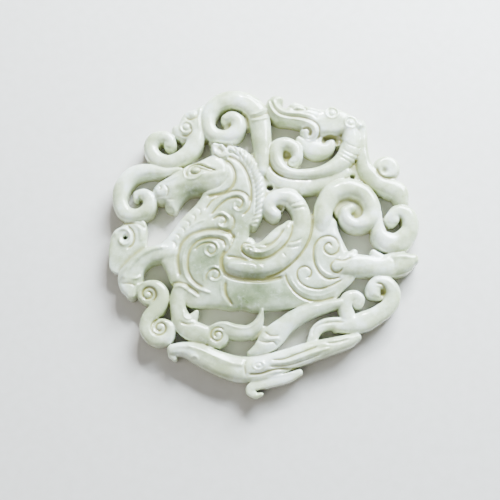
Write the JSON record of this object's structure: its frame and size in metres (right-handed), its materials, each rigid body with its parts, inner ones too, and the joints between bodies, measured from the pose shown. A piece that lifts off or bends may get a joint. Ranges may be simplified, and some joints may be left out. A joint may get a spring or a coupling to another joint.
{
  "type": "jade pendant",
  "caption": "Round openwork jade pendant, one slab carved and pierced with a winged horse among scrolls and dragon heads.",
  "frame": {"origin": "middle of the round outline, on the flat back that it lies on", "axes": "+Z out of the carved front, +Y towards the top of the picture, with the horse facing -X"},
  "size_m": [0.0775, 0.0798, 0.0067],
  "materials": {
    "jade": "waxy polish, pale celadon"
  },
  "bodies": {
    "root": {"carved_plaque": "jade"}
  },
  "joints": []
}
